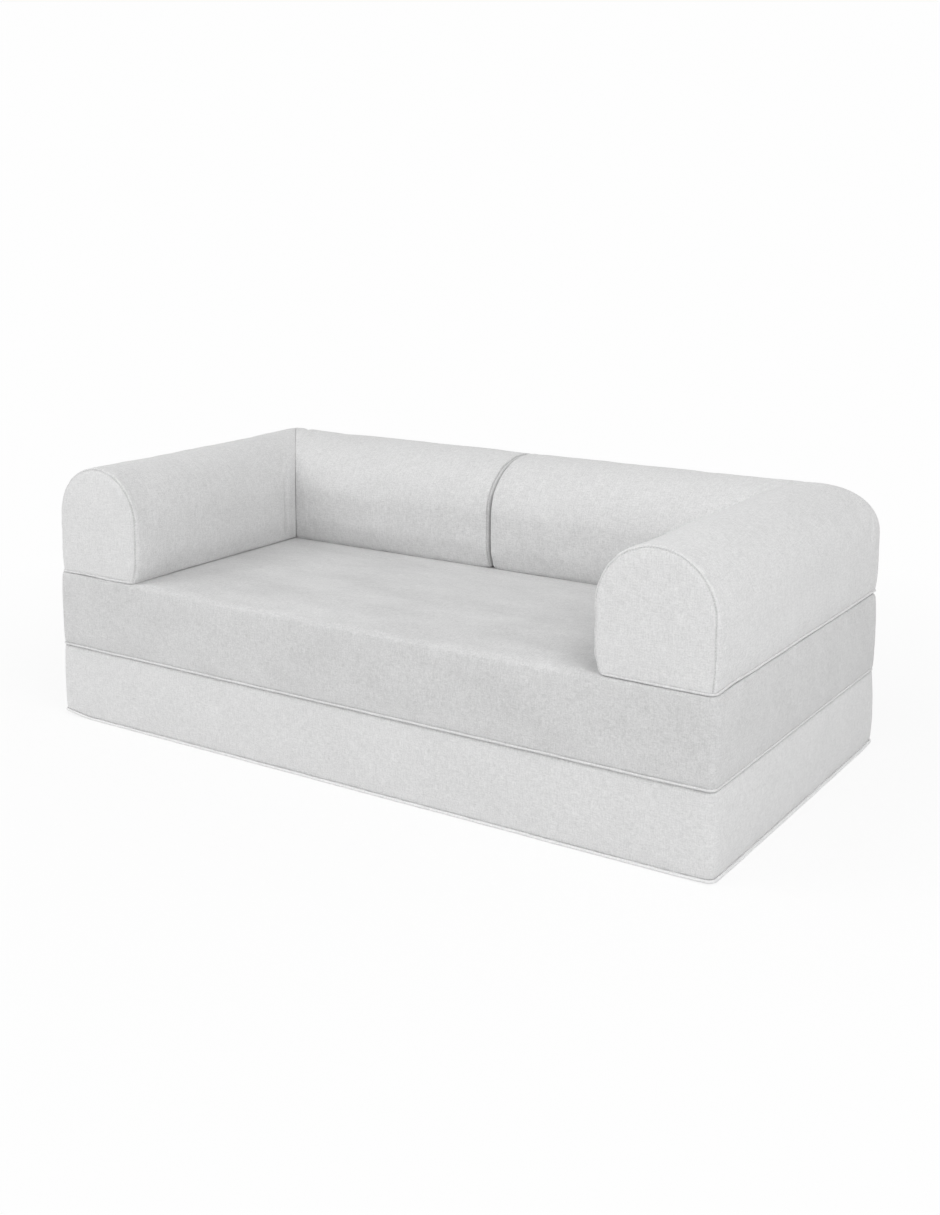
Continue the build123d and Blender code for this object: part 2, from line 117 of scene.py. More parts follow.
class Net:
    """Points, quads and per-point notes of one closed form, in millimetres."""

    def __init__(self):
        self.points, self.notes, self.quads, self.panels = [], [], [], []

    def add(self, points, notes):
        first = len(self.points)
        self.points += [tuple(p) for p in points]
        self.notes += [tuple(n) for n in notes]
        return np.arange(first, len(self.points))

    def band(self, ring_a, ring_b, panel):
        """Quads between two closed rings. panel is one number, or one for each step round the ring."""
        count = len(ring_a)
        for k in range(count):
            n = (k + 1) % count
            self.quads.append((ring_a[k], ring_a[n], ring_b[n], ring_b[k]))
            self.panels.append(panel if np.isscalar(panel) else panel[k])

    def patch(self, ring, n, m, panel, lift=None):
        """Fills a ring whose corners are at steps 0, n, n + m and 2n + m with a smooth grid of quads."""
        p = np.array([self.points[i] for i in ring], float)
        note = np.array([self.notes[i] for i in ring], float)
        grid = np.zeros((n + 1, m + 1), int)
        grid[:, 0] = ring[: n + 1]
        grid[n, :] = ring[n : n + m + 1]
        grid[:, m] = ring[n + m : 2 * n + m + 1][::-1]
        grid[0, 1:] = ring[2 * n + m :][::-1][: m]
        low, far, high, near = (
            np.array([self.points[i] for i in side], float)
            for side in (grid[:, 0], grid[n, :], grid[:, m], grid[0, :])
        )
        u = (np.arange(n + 1) / n)[:, None, None]
        v = (np.arange(m + 1) / m)[None, :, None]
        flat = (
            (1 - v) * low[:, None] + v * high[:, None] + (1 - u) * near[None] + u * far[None]
            - (1 - u) * (1 - v) * low[0] - u * (1 - v) * low[n] - (1 - u) * v * high[0] - u * v * high[n]
        )
        if lift is not None:
            flat = lift(flat, u[..., 0], v[..., 0])
        inner = flat[1:n, 1:m].reshape(-1, 3)
        grid[1:n, 1:m] = self.add(inner, np.tile(note.mean(0), (len(inner), 1))).reshape(n - 1, m - 1)
        for i in range(n):
            for j in range(m):
                self.quads.append((grid[i, j], grid[i + 1, j], grid[i + 1, j + 1], grid[i, j + 1]))
                self.panels.append(panel)

    def build(self, name):
        return make(name, self.points, self.quads, self.notes, self.panels)


def make(name, points, faces, notes=None, panels=None):
    """A smooth-shaded mesh object from millimetre points. notes go into the point attribute cloth."""
    mesh = bpy.data.meshes.new(name)
    mesh.from_pydata((np.asarray(points, float) * MM).tolist(), [], [tuple(int(i) for i in f) for f in faces])
    if notes is not None:
        layer = mesh.attributes.new("cloth", "FLOAT_VECTOR", "POINT")
        layer.data.foreach_set("vector", (np.asarray(notes, float) * MM).astype(np.float32).ravel())
    if panels is not None:
        mesh.polygons.foreach_set("material_index", np.asarray(panels, np.int32))
    mesh.polygons.foreach_set("use_smooth", np.ones(len(mesh.polygons), bool))
    solid = bmesh.new()
    solid.from_mesh(mesh)
    bmesh.ops.recalc_face_normals(solid, faces=solid.faces)
    solid.to_mesh(mesh)
    solid.free()
    obj = bpy.data.objects.new(name, mesh)
    bpy.context.scene.collection.objects.link(obj)
    return obj


def sleeve(rings, sides, closed=False):
    """Faces round equal rings of points: the last ring joins the first, or else each end has a face."""
    faces = []
    for i in range(rings if closed else rings - 1):
        j = (i + 1) % rings
        for k in range(sides):
            n = (k + 1) % sides
            faces.append((i * sides + k, i * sides + n, j * sides + n, j * sides + k))
    if not closed:
        faces += [tuple(range(sides)), tuple(range((rings - 1) * sides, rings * sides))]
    return faces


def read(mesh, what="co"):
    """The points' places, or their normals, as an array."""
    data = np.zeros(len(mesh.vertices) * 3)
    mesh.vertices.foreach_get(what, data)
    return data.reshape(-1, 3)


def write(mesh, points):
    """Moves the mesh's points to these places, in metres."""
    mesh.vertices.foreach_set("co", np.asarray(points, float).ravel())
    mesh.update()


def flatten(mesh):
    """Shades the faces flat."""
    mesh.polygons.foreach_set("use_smooth", np.zeros(len(mesh.polygons), bool))


def shade(mesh, values):
    """Keeps each point's painted shade for the fabric's colour: how dark it is drawn in seams, creases and
    where parts meet.
    """
    layer = mesh.attributes.new("seam", "FLOAT", "POINT")
    layer.data.foreach_set("value", np.asarray(values, np.float32))


def note(mesh):
    """The notes on the points, in millimetres."""
    data = np.zeros(len(mesh.vertices) * 3, np.float32)
    mesh.attributes["cloth"].data.foreach_get("vector", data)
    return data.reshape(-1, 3).astype(float) / MM


def settle(obj):
    """Makes the mesh that the modifiers give the object's own."""
    bpy.context.view_layer.update()
    evaluated = obj.evaluated_get(bpy.context.evaluated_depsgraph_get())
    mesh = bpy.data.meshes.new_from_object(evaluated)
    obj.modifiers.clear()
    obj.data = mesh
    mesh.name = obj.name


def refine(obj):
    """One level of smooth subdivision."""
    modifier = obj.modifiers.new("finer", "SUBSURF")
    modifier.levels = modifier.render_levels = 1
    settle(obj)


def swell(obj, pinned, reach):
    """Cloth simulation: the cover swells between its pinned seams, and each point moves up to its reach."""
    scene = bpy.context.scene
    rest = read(obj.data)
    group = obj.vertex_groups.new(name="pinned")
    for index, weight in enumerate(pinned):
        if weight > 0:
            group.add([index], float(weight), "REPLACE")
    modifier = obj.modifiers.new("cloth", "CLOTH")
    cloth = modifier.settings
    cloth.vertex_group_mass = "pinned"
    cloth.quality = 5
    cloth.mass = 0.3
    cloth.tension_stiffness = cloth.compression_stiffness = 25
    cloth.shear_stiffness = 8
    cloth.bending_stiffness = 2
    cloth.use_pressure = True
    cloth.uniform_pressure_force = 3.0
    cloth.shrink_min = -0.004
    cloth.effector_weights.gravity = 0
    modifier.collision_settings.use_collision = False
    modifier.point_cache.frame_start, modifier.point_cache.frame_end = 1, SWELL_FRAMES
    for frame_number in range(1, SWELL_FRAMES + 1):
        scene.frame_set(frame_number)
    evaluated = obj.evaluated_get(bpy.context.evaluated_depsgraph_get())
    moved = read(evaluated.data) - rest
    obj.modifiers.clear()
    obj.vertex_groups.clear()
    scene.frame_set(1)
    far = np.linalg.norm(moved, axis=1)[:, None]
    cap = np.asarray(reach, float).reshape(-1, 1) * MM
    held = cap * np.tanh(far / np.maximum(cap, TINY)) / np.maximum(far, TINY)
    write(obj.data, rest + moved * np.where(far > TINY, held, 0))


# ------------------------------------------------------------------ materials


def grey(value):
    return (value, value, value, 1.0)


def tinted(colour, *shares):
    """The colour at each share of its strength."""
    return [tuple(c * share for c in colour) + (1.0,) for share in shares]


class Nodes:
    """The linked nodes of a material or of the world."""

    def __init__(self, owner, output):
        owner.use_nodes = True
        self.tree = owner.node_tree
        self.tree.nodes.clear()
        self.surface = self.new(output).inputs["Surface"]

    def new(self, kind, **settings):
        node = self.tree.nodes.new(kind)
        for key, value in settings.items():
            setattr(node, key, value)
        return node

    def fed(self, kind, *values, **settings):
        """A new node whose first sockets have these values or links."""
        node = self.new(kind, **settings)
        for socket, value in zip(node.inputs, values):
            self.put(socket, value)
        return node

    def link(self, a, b):
        self.tree.links.new(a, b)

    def put(self, socket, value):
        if isinstance(value, bpy.types.NodeSocket):
            self.link(value, socket)
        else:
            socket.default_value = value

    def math(self, operation, *values):
        return self.fed("ShaderNodeMath", *values, operation=operation).outputs[0]

    def blend(self, share, a, b):
        """Shader a where the share is 0, and b where it is 1."""
        return self.fed("ShaderNodeMixShader", share, a, b).outputs[0]


class Shader(Nodes):
    """A material of linked nodes round one Principled shader."""

    def __init__(self, name):
        self.material = bpy.data.materials.new(name)
        super().__init__(self.material, "ShaderNodeOutputMaterial")
        self.shader = self.new("ShaderNodeBsdfPrincipled")
        self.link(self.shader.outputs[0], self.surface)

    def vector(self, operation, *values):
        node = self.fed("ShaderNodeVectorMath", *values, operation=operation)
        return node.outputs["Value" if operation == "LENGTH" else "Vector"]

    def noise(self, place, size, detail=2.0, rough=0.5, output="Fac"):
        """3-D noise with features about size metres across, from 0 to 1."""
        node = self.new("ShaderNodeTexNoise")
        self.put(node.inputs["Vector"], place)
        node.inputs["Scale"].default_value = 1 / size
        node.inputs["Detail"].default_value = detail
        node.inputs["Roughness"].default_value = rough
        return node.outputs[output]

    def ranged(self, value, low, high, to_low, to_high):
        """A value between low and high brought between to_low and to_high."""
        return self.fed("ShaderNodeMapRange", value, low, high, to_low, to_high).outputs[0]

    def mix(self, share, a, b):
        """Vector a where the share is 0, and b where it is 1."""
        node = self.new("ShaderNodeMix", data_type="VECTOR")
        self.put(node.inputs["Factor"], share)
        # these sockets are the mix node's vector ones
        self.put(node.inputs[4], a)
        self.put(node.inputs[5], b)
        return node.outputs[1]

    def bump(self, height, strength, distance):
        node = self.new("ShaderNodeBump")
        node.inputs["Strength"].default_value = strength
        node.inputs["Distance"].default_value = distance
        self.put(node.inputs["Height"], height)
        self.link(node.outputs[0], self.shader.inputs["Normal"])

    def ramp(self, value, *stops):
        """Colour at a value between two stops of a place and a colour each."""
        node = self.fed("ShaderNodeValToRGB", value)
        for element, (place, colour) in zip(node.color_ramp.elements, stops):
            element.position, element.color = place, colour
        return node.outputs[0]


def box_mapped(s):
    """Cloth coordinates on flat faces: the two of x, y and z that lie most in the face."""
    place = s.new("ShaderNodeTexCoord")
    x, y, z = s.fed("ShaderNodeSeparateXYZ", place.outputs["Object"]).outputs
    nx, ny, nz = s.fed("ShaderNodeSeparateXYZ", s.vector("ABSOLUTE", place.outputs["Normal"])).outputs
    faces = [s.fed("ShaderNodeCombineXYZ", a, b).outputs[0] for a, b in ((x, y), (x, z), (y, z))]
    side = s.mix(s.math("GREATER_THAN", nx, ny), faces[1], faces[2])
    return s.mix(s.math("GREATER_THAN", nz, s.math("MAXIMUM", nx, ny)), side, faces[0])


def cloth_coordinates(s):
    """Cloth coordinates that a piece's mesh carries."""
    return s.new("ShaderNodeAttribute", attribute_name="cloth").outputs["Vector"]


# Cloth: the size in metres of each kind of unevenness, and how far it shades the colour
THREAD_DRIFT_SIZE, THREAD_DRIFT, THREAD_SHADE = 0.00625, 0.0011, 0.04
YARN_LENGTH, YARN_FINENESS, YARN_SHADE = 0.026, 14, 0.07
GRAIN_SIZE, GRAIN_SHADE = 0.0036, 0.14
TUFT_SIZE, TUFT_SHADE = 0.011, 0.035
PATCH_SIZE, PATCH_SHADE = 0.09, 0.016
SMEAR_SIZE, SMEAR_STRETCH, UPRIGHT_SMEAR = 0.11, 0.45, 0.45
# how far the painted shade in seams, creases and under the bolsters darkens the colour
SEAM_SHADE = 0.22
SHADE_RANGE = 0.3
NOISE_LOW, NOISE_HIGH = 0.3, 0.7


def fabric(name, colour, pitch=0.0021, mapped=cloth_coordinates, nap=1.0, bump=0.5, sheen=0.25, seams=False,
           brushed=0.0):
    """Matt woven cloth: fine threads, uneven yarns, a grainy nap, faint patches, smears if brushed, and painted
    shade in seams if asked.
    """
    s = Shader(name)
    flat = mapped(s)
    place = s.new("ShaderNodeTexCoord")
    solid = place.outputs["Object"]

    def shaded(value, strength):
        return s.ranged(value, NOISE_LOW, NOISE_HIGH, -strength, strength)

    drift = s.vector("SUBTRACT", s.noise(solid, THREAD_DRIFT_SIZE, 2, output="Color"), (0.5, 0.5, 0.5))
    bent = s.vector("ADD", flat, s.vector("MULTIPLY", drift, (THREAD_DRIFT, THREAD_DRIFT, THREAD_DRIFT)))
    at = s.fed("ShaderNodeSeparateXYZ", bent)
    turn = 2 * math.pi / pitch
    warp = s.math("SINE", s.math("MULTIPLY", at.outputs[0], turn))
    weft = s.math("SINE", s.math("MULTIPLY", at.outputs[1], turn))
    threads = s.math("MULTIPLY", warp, weft)
    along = s.noise(s.vector("MULTIPLY", flat, (1, YARN_FINENESS, 1)), YARN_LENGTH)
    across = s.noise(s.vector("MULTIPLY", flat, (YARN_FINENESS, 1, 1)), YARN_LENGTH)
    yarns = s.math("ADD", along, across)
    grain = s.noise(solid, GRAIN_SIZE, 3, 0.7)
    shades = [
        shaded(grain, GRAIN_SHADE * nap),
        s.ranged(yarns, 0.75, 1.25, -YARN_SHADE, YARN_SHADE),
        shaded(s.noise(solid, TUFT_SIZE), TUFT_SHADE * nap),
        shaded(s.noise(solid, PATCH_SIZE, 3), PATCH_SHADE),
        s.math("MULTIPLY", threads, THREAD_SHADE),
    ]
    if brushed:
        # strongest on faces that look up
        smears = s.noise(s.vector("MULTIPLY", solid, (SMEAR_STRETCH, 1, 1)), SMEAR_SIZE, 4, 0.6)
        way = s.fed("ShaderNodeSeparateXYZ", place.outputs["Normal"])
        upward = s.ranged(way.outputs[2], 0, 1, UPRIGHT_SMEAR, 1)
        shades.append(s.math("MULTIPLY", shaded(smears, brushed), upward))
    if seams:
        # painted shade: the seam attribute darkens the colour in seam gaps, creases and where parts rest on
        # each other
        seam_shade_fac = s.new("ShaderNodeAttribute", attribute_name="seam").outputs["Fac"]
        shades.append(s.math("MULTIPLY", seam_shade_fac, -SEAM_SHADE))
    total = shades[0]
    for shade_by in shades[1:]:
        total = s.math("ADD", total, shade_by)
    low, high = tinted(colour, 1 - SHADE_RANGE, 1 + SHADE_RANGE)
    share = s.ranged(total, -SHADE_RANGE, SHADE_RANGE, 0, 1)
    s.put(s.shader.inputs["Base Color"], s.ramp(share, (0, low), (1, high)))
    nap_height = s.math("ADD", s.math("MULTIPLY", grain, 1.1), s.math("MULTIPLY", yarns, 0.5))
    s.bump(s.math("ADD", s.math("MULTIPLY", threads, 0.35), nap_height), bump, 0.0009)
    s.shader.inputs["Roughness"].default_value = 0.92
    s.shader.inputs["Specular IOR Level"].default_value = 0.2
    s.shader.inputs["Sheen Weight"].default_value = sheen
    s.shader.inputs["Sheen Roughness"].default_value = 0.6
    return s.material


def metal(name, colour, roughness):
    """Brushed, faintly scuffed metal."""
    s = Shader(name)
    solid = s.new("ShaderNodeTexCoord").outputs["Object"]
    brushed = s.noise(s.vector("MULTIPLY", solid, (1, 9, 9)), 0.003, 3)
    scuffs = s.noise(solid, 0.004, 4, 0.7)
    low, high = tinted(colour, 0.82, 1.08)
    s.put(s.shader.inputs["Base Color"], s.ramp(scuffs, (NOISE_LOW, low), (NOISE_HIGH, high)))
    rough = s.ranged(brushed, NOISE_LOW, NOISE_HIGH, roughness - 0.08, roughness + 0.1)
    s.put(s.shader.inputs["Roughness"], rough)
    s.shader.inputs["Metallic"].default_value = 1.0
    s.bump(brushed, 0.15, 0.0001)
    return s.material


def plastic(name, colour):
    """Moulded nylon with a faint grain."""
    s = Shader(name)
    solid = s.new("ShaderNodeTexCoord").outputs["Object"]
    low, high = tinted(colour, 0.93, 1.05)
    s.put(s.shader.inputs["Base Color"], s.ramp(s.noise(solid, 0.006, 3), (NOISE_LOW, low), (NOISE_HIGH, high)))
    s.put(s.shader.inputs["Roughness"], s.ranged(s.noise(solid, 0.002), NOISE_LOW, NOISE_HIGH, 0.4, 0.55))
    s.bump(s.noise(solid, 0.0008), 0.2, 0.0001)
    return s.material


CLOTH = (0.70, 0.70, 0.70)
NAPPED = (0.622, 0.622, 0.622)
woven = {"mapped": box_mapped, "sheen": 0.1}
flat_cloth = fabric("flat_cloth", CLOTH, mapped=box_mapped, nap=0.72, seams=True)
seat_cloth = fabric("seat_cloth", NAPPED, mapped=box_mapped, nap=0.88, seams=True, brushed=0.085)
round_cloth = fabric("round_cloth", CLOTH, nap=0.84, seams=True)
base_cloth = fabric("base_cloth", (0.58, 0.58, 0.58), pitch=0.0012, nap=0.4, bump=0.3, **woven)
welt_cloth = fabric("welt_cloth", (0.69, 0.69, 0.69), nap=0.7, bump=0.4)
# painted light: the floor piping's cloth is lighter than the other piping, standing in for light bounced up
# from the floor
floor_welt_cloth = fabric("floor_welt_cloth", (0.79, 0.79, 0.79), nap=0.5, bump=0.4)
tape_cloth = fabric("tape_cloth", (0.60, 0.60, 0.60), pitch=0.0009, nap=0.4, bump=0.3, **woven)
thread = fabric("thread", (0.74, 0.74, 0.74), pitch=0.0006, nap=0.3, bump=0.2, **woven)
zip_metal = metal("zip_metal", (0.72, 0.72, 0.72), 0.32)
zip_nylon = plastic("zip_nylon", (0.60, 0.60, 0.60))


def dress(obj, *materials):
    """Gives a piece its materials in the order of its panels, and keeps each face's panel number."""
    index = np.zeros(len(obj.data.polygons), np.int32)
    obj.data.polygons.foreach_get("material_index", index)
    obj.data.materials.clear()
    for material in materials:
        obj.data.materials.append(material)
    obj.data.polygons.foreach_set("material_index", np.minimum(index, len(materials) - 1))


# ------------------------------------------------------------------ mattresses

FLAT, BASE, SLOT = 0, 1, 2


def mattress_loop():
    """Feet and outward ways round the mattress, anticlockwise from its front left corner, and its steps."""
    arc, across, deep = 3, 114, 58
    inner_x, inner_y = HALF_X - CORNER, HALF_Y - CORNER
    # points on the long sides, two of them at the ends of the zip's slot
    columns = np.linspace(inner_x, -inner_x, across + 1)
    for end in (ZIP_HALF - SLOT_SHORT, SLOT_SHORT - ZIP_HALF):
        columns[np.abs(columns - end).argmin()] = end
    feet, ways = [], []
    for turn in (-90, 0, 90, 180):
        is_long = turn in (-90, 90)
        half, away = (inner_x, inner_y) if is_long else (inner_y, inner_x)
        spots = -columns if is_long else np.linspace(-half, half, deep + 1)
        local = [(-half, a) for a in np.linspace(-45, 0, arc + 1)[:-1]]
        local += [(x, 0) for x in spots]
        local += [(half, a) for a in np.linspace(0, 45, arc + 1)[1:-1]]
        c, s = math.cos(math.radians(turn)), math.sin(math.radians(turn))
        # along the side, and outwards from it
        side, out = np.array((-s, c)), np.array((c, s))
        for x, a in local:
            angle = math.radians(a)
            feet.append(side * x + out * away)
            ways.append(out * math.cos(angle) + side * math.sin(angle))
    return np.array(feet), np.array(ways), (across + 2 * arc, deep + 2 * arc)


def corner_lift(at):
    """How far the foam's lowest corners stand off the floor."""
    lift = np.zeros(len(at))
    for x, y, rise in CORNER_LIFTS:
        away = np.hypot(at[:, 0] - x * HALF_X, at[:, 1] - y * HALF_Y)
        lift += rise * ease((LIFT_REACH - away) / LIFT_REACH) ** 1.5
    return lift * ease((LIFT_HEIGHT - at[:, 2]) / 70)


def crown(flat, u, v):
    """Raises the top grid's open seat between the arms and in front of the back."""
    x, y = flat[..., 0], flat[..., 1]
    across = ease((SEAT_HALF - np.abs(x)) / CROWN_FADE)
    deep = ease((y + HALF_Y - CORNER) / CROWN_FADE) * ease((SEAT_BACK - y) / CROWN_FADE)
    flat[..., 2] += CROWN * np.sqrt(across * deep)
    return flat


def cut_slot(mesh, panel, depth):
    """Takes out the faces of one panel and turns the cloth in round the opening, for a zip."""
    cut = bmesh.new()
    cut.from_mesh(mesh)
    bmesh.ops.delete(cut, geom=[f for f in cut.faces if f.material_index == panel], context="FACES")
    hem = bmesh.ops.extrude_edge_only(cut, edges=[e for e in cut.edges if e.is_boundary])["geom"]
    for v in (g for g in hem if isinstance(g, bmesh.types.BMVert)):
        v.co.y -= depth * MM
    cut.to_mesh(mesh)
    cut.free()


def mattress(name, low, high, low_radius, high_radius, crowned, seed, cloth):
    """One padded mattress in its cover, closed below by its base cloth, with the slot for its zip."""
    feet, ways, (n, m) = mattress_loop()
    zip_level = low + ZIP_HEIGHT
    if crowned:
        low_radius = SIDE_FOLD_EDGE - (SIDE_FOLD_EDGE - low_radius) * np.clip(-ways[:, 1], 0, 1)
    # each row of points: how far in from the side, and how high
    rows = [(low_radius * (1 - math.sin(a)), low + low_radius * (1 - math.cos(a)))
            for a in np.radians(np.linspace(0, 90, 5))]
    edge = np.full(len(feet), high_radius)
    if crowned:
        edge += (PRESSED_EDGE - high_radius) * ease((np.abs(feet[:, 0]) - 640) / 70)
        edge = np.where(feet[:, 1] > 0, PRESSED_EDGE, edge)
    bottom, top = low + low_radius, high - edge
    slot_low, slot_high = zip_level - SLOT_HALF, zip_level + SLOT_HALF
    slot_row = len(rows) + 1
    heights = [bottom + (slot_low - bottom) * k / 2 for k in (1, 2)] + [slot_high]
    heights += [slot_high + (top - slot_high) * k / 8 for k in range(1, 8)]
    for z in heights:
        share = (2 * z - top - bottom) / (top - bottom)
        rows.append((-SIDE_BULGE * (1 - share * share), z))
    rows += [(edge * (1 - math.cos(a)), top + edge * math.sin(a)) for a in np.radians(np.linspace(0, 90, 6))]
    net = Net()
    rings = []
    for inset, z in rows:
        at = feet + ways * np.reshape(CORNER - inset, (-1, 1))
        ring = np.column_stack([at, np.broadcast_to(z, len(at))])
        rings.append(net.add(ring, [(0, 0, 0)] * len(ring)))
    for number in range(len(rings) - 1):
        panel = np.full(len(feet), FLAT)
        if number == slot_row:
            middle = (feet + np.roll(feet, -1, axis=0)) / 2
            behind = (middle[:, 1] > 0) & (ways[:, 1] > 0.99)
            panel[(np.abs(middle[:, 0]) < ZIP_HALF - SLOT_SHORT) & behind] = SLOT
        net.band(rings[number], rings[number + 1], panel)
    net.patch(rings[-1], n, m, FLAT, crown if crowned else None)
    net.patch(rings[0], n, m, BASE)
    obj = net.build(name)

    # how free each point is to swell: not at the seams, the zip or beneath the bolsters
    at = read(obj.data) / MM
    drop = at[:, 2] - low
    seat = ease((690 - np.abs(at[:, 0])) / 60) * ease((175 - at[:, 1]) / 60) if crowned else 0
    free = np.where(at[:, 2] > high - 1, seat, ease((drop - 1) / 25))
    near_slot = (np.abs(at[:, 2] - zip_level) < SLOT_HALF + 1) & (at[:, 1] > HALF_Y - 5)
    free = np.where(near_slot | (drop < 0.5), 0, free)
    # the two front faces meet when the bed is open, so they stay flat
    free = np.where(at[:, 1] < 1 - HALF_Y, 0.25 * free, free)
    swell(obj, 1 - free, SWELL_FIXED + MATTRESS_SWELL * free)
    refine(obj)

    mesh = obj.data
    at, out = read(mesh) / MM, read(mesh, "normal")
    side = ease((at[:, 2] - low - 2) / 20) * ease((high - 2 - at[:, 2]) / 20)
    upward = (out[:, 2] > 0.7) & (at[:, 2] > high - 4)
    move = side * (0.5 * waves(at, 260, seed) + 0.25 * waves(at, 90, seed + 1))
    puckers = waves(at * (1, 1, 0.2), 34, seed + 2)
    move += side * 0.45 * puckers * (bell(at[:, 2] - low, 26) + 0.5 * bell(at[:, 2] - high, 26))
    if crowned:
        within, behind = SEAT_HALF - np.abs(at[:, 0]), at[:, 1] + HALF_Y
        open_seat = ease(within / 90) * ease((SEAT_BACK - at[:, 1]) / 90) * ease((behind - 10) / 60)
        move += upward * open_seat * (1.0 * waves(at, 300, seed + 3) + 0.4 * waves(at, 110, seed + 4))
        # the front edge is rolled over a little, and the seat dips just behind it
        move += ease(within / 30) * upward * (1.2 * bell(behind - 20, 9) - 1.3 * bell(behind - 50, 17))
    at = at + out * move[:, None]
    if not crowned:
        at[:, 2] += corner_lift(at)
    at[:, 1] = np.maximum(at[:, 1], FOLD_AXIS[0] + 0.4)
    write(mesh, at * MM)
    # painted shade: darker along the seam's gap between the mattresses and along the floor edge, weaker on the
    # front faces, none on faces looking up
    below, above = (0.5, 0) if crowned else (0.25, 0.7)
    painted_seam_shade = below * bell(at[:, 2] - low - 2, 4) + above * bell(high - 1 - at[:, 2], 3)
    painted_seam_shade *= np.where(at[:, 1] < 15 - HALF_Y, 0.4, 1)
    shade(mesh, np.where(out[:, 2] > 0.95, 0, painted_seam_shade))
    cut_slot(mesh, SLOT, MATTRESS_HEM)
    dress(obj, cloth, base_cloth, cloth)
    return obj


lower = mattress("lower_mattress_padded", 0, FOLD_LEVEL, FLOOR_EDGE, SEAM_EDGE, False, 11, flat_cloth)
upper = mattress("upper_mattress_padded", FOLD_LEVEL + STACK_GAP, SEAT_LEVEL, FOLD_EDGE, TOP_EDGE, True, 23,
                 seat_cloth)
for obj, prefix in ((lower, "lower"), (upper, "upper")):
    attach(obj, f"{prefix}_mattress")
    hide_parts(f"{prefix}_cover", f"{prefix}_core", f"{prefix}_base_panel")


# -------------------------------------------------------------------- bolsters

HEIGHTS = np.array((0.6, 2.4, 6, 14, 26, 38, 50.6, 61.4, 71, 83, 95.5, 108, 120.5, 133, 145.5, 158))
ZIP_STEP = 6
TOP_STEPS, BASE_STEPS = 36, 18
SIDE_STEPS = len(HEIGHTS) - 1
END_DEPTHS = (0.0, 1.2, 2.2, SEAM_DEPTH, 3.9, 5.2, 7.6, 10.6)
SLEEVE, PANEL, UNDER, GAP = 0, 1, 2, 3
# how far each side draws in towards its piping, and how far it is tucked in behind it
OUTER_FOOT, INNER_FOOT = (5.0, 2.5), (14.5, 3.7)
NARROW_BELOW, TUCK_BELOW = 70.0, 6.0
# how far the end panels stand out, and how much lower than the solids' the long tops lie
END_DOME = 5.0
TOP_DROP, BACK_TOP_DROP = 3.5, 4.5
STITCH_LENGTH, STITCH_PITCH, THREAD_RADIUS, STITCH_LIFT = 4.4, 7.0, 0.5, 0.5
STITCH_SIDES, STITCH_END, STITCH_SUNK = 5, 0.4, 0.35


def half_width(height, narrowing, tuck):
    """The padded limb narrows gently to its piping, and is tucked in behind it."""
    hem = np.clip(1 - (height - BASE_LOW) / TUCK_BELOW, 0, 1)
    return BODY_RADIUS - narrowing * np.clip(1 - height / NARROW_BELOW, 0, 1) ** 2 - tuck * hem**2


def section(inset):
    """Closed section, across and up: from the outer base edge over the top to the inner one, and back."""
    radius, low = BODY_RADIUS - inset, BASE_LOW + 0.4 * inset
    heights = low + (HEIGHTS - BASE_LOW) * (SHOULDER - low) / (SHOULDER - BASE_LOW)
    left = list(zip(inset - half_width(heights, *OUTER_FOOT), heights))
    over = [(-radius * math.cos(a), SHOULDER + radius * math.sin(a))
            for a in np.linspace(0, math.pi, TOP_STEPS + 1)[1:-1]]
    right = list(zip(half_width(heights, *INNER_FOOT) - inset, heights))[::-1]
    base = [(x, low) for x in np.linspace(right[-1][0], left[0][0], BASE_STEPS + 1)[1:-1]]
    return np.array(left + over + right + base)


def girth(points):
    """How far round the section each point is."""
    steps = np.linalg.norm(np.diff(points, axis=0), axis=1)
    return np.concatenate([[0], np.cumsum(steps)])


def sew(cover, seam_depth):
    """Thread stitches in the seam round the cover's end panel."""
    at, out, marks_at = read(cover.data) / MM, read(cover.data, "normal"), note(cover.data)
    on = np.nonzero((np.abs(marks_at[:, 1] - seam_depth) < 0.02) & (at[:, 2] > SEAT_LEVEL + 7))[0]
    on = on[np.argsort(marks_at[on, 0])]
    path, lift = at[on], out[on]
    along = np.concatenate([[0], np.cumsum(np.linalg.norm(np.diff(path, axis=0), axis=1))])

    def spot(length):
        """A place above the seam, and the way out from the cloth there."""
        where, way = np.array([[np.interp(length, along, xs) for xs in line.T] for line in (path, lift)])
        way /= np.linalg.norm(way)
        return where + way * STITCH_LIFT, way

    points, faces = [], []
    for start in np.arange(3, along[-1] - 5, STITCH_PITCH):
        first = len(points)
        (a, up), (b, _) = spot(start), spot(start + STITCH_LENGTH)
        ahead = (b - a) / np.linalg.norm(b - a)
        across = np.cross(ahead, up)
        rings = ((a, STITCH_END, STITCH_SUNK), (a + ahead * 0.5, 1, 0), (b - ahead * 0.5, 1, 0),
                 (b, STITCH_END, STITCH_SUNK))
        for place, size, drop in rings:
            for turn in range(STITCH_SIDES):
                c, s = math.cos(turn * math.tau / STITCH_SIDES), math.sin(turn * math.tau / STITCH_SIDES)
                points.append(place - up * drop + (across * c + up * s) * THREAD_RADIUS * size)
        faces += [tuple(first + i for i in face) for face in sleeve(len(rings), STITCH_SIDES)]
    obj = make(cover.name.replace("padded", "stitches"), points, faces)
    dress(obj, thread)
    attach(obj, cover.name.split("_")[0] + "_bolster")


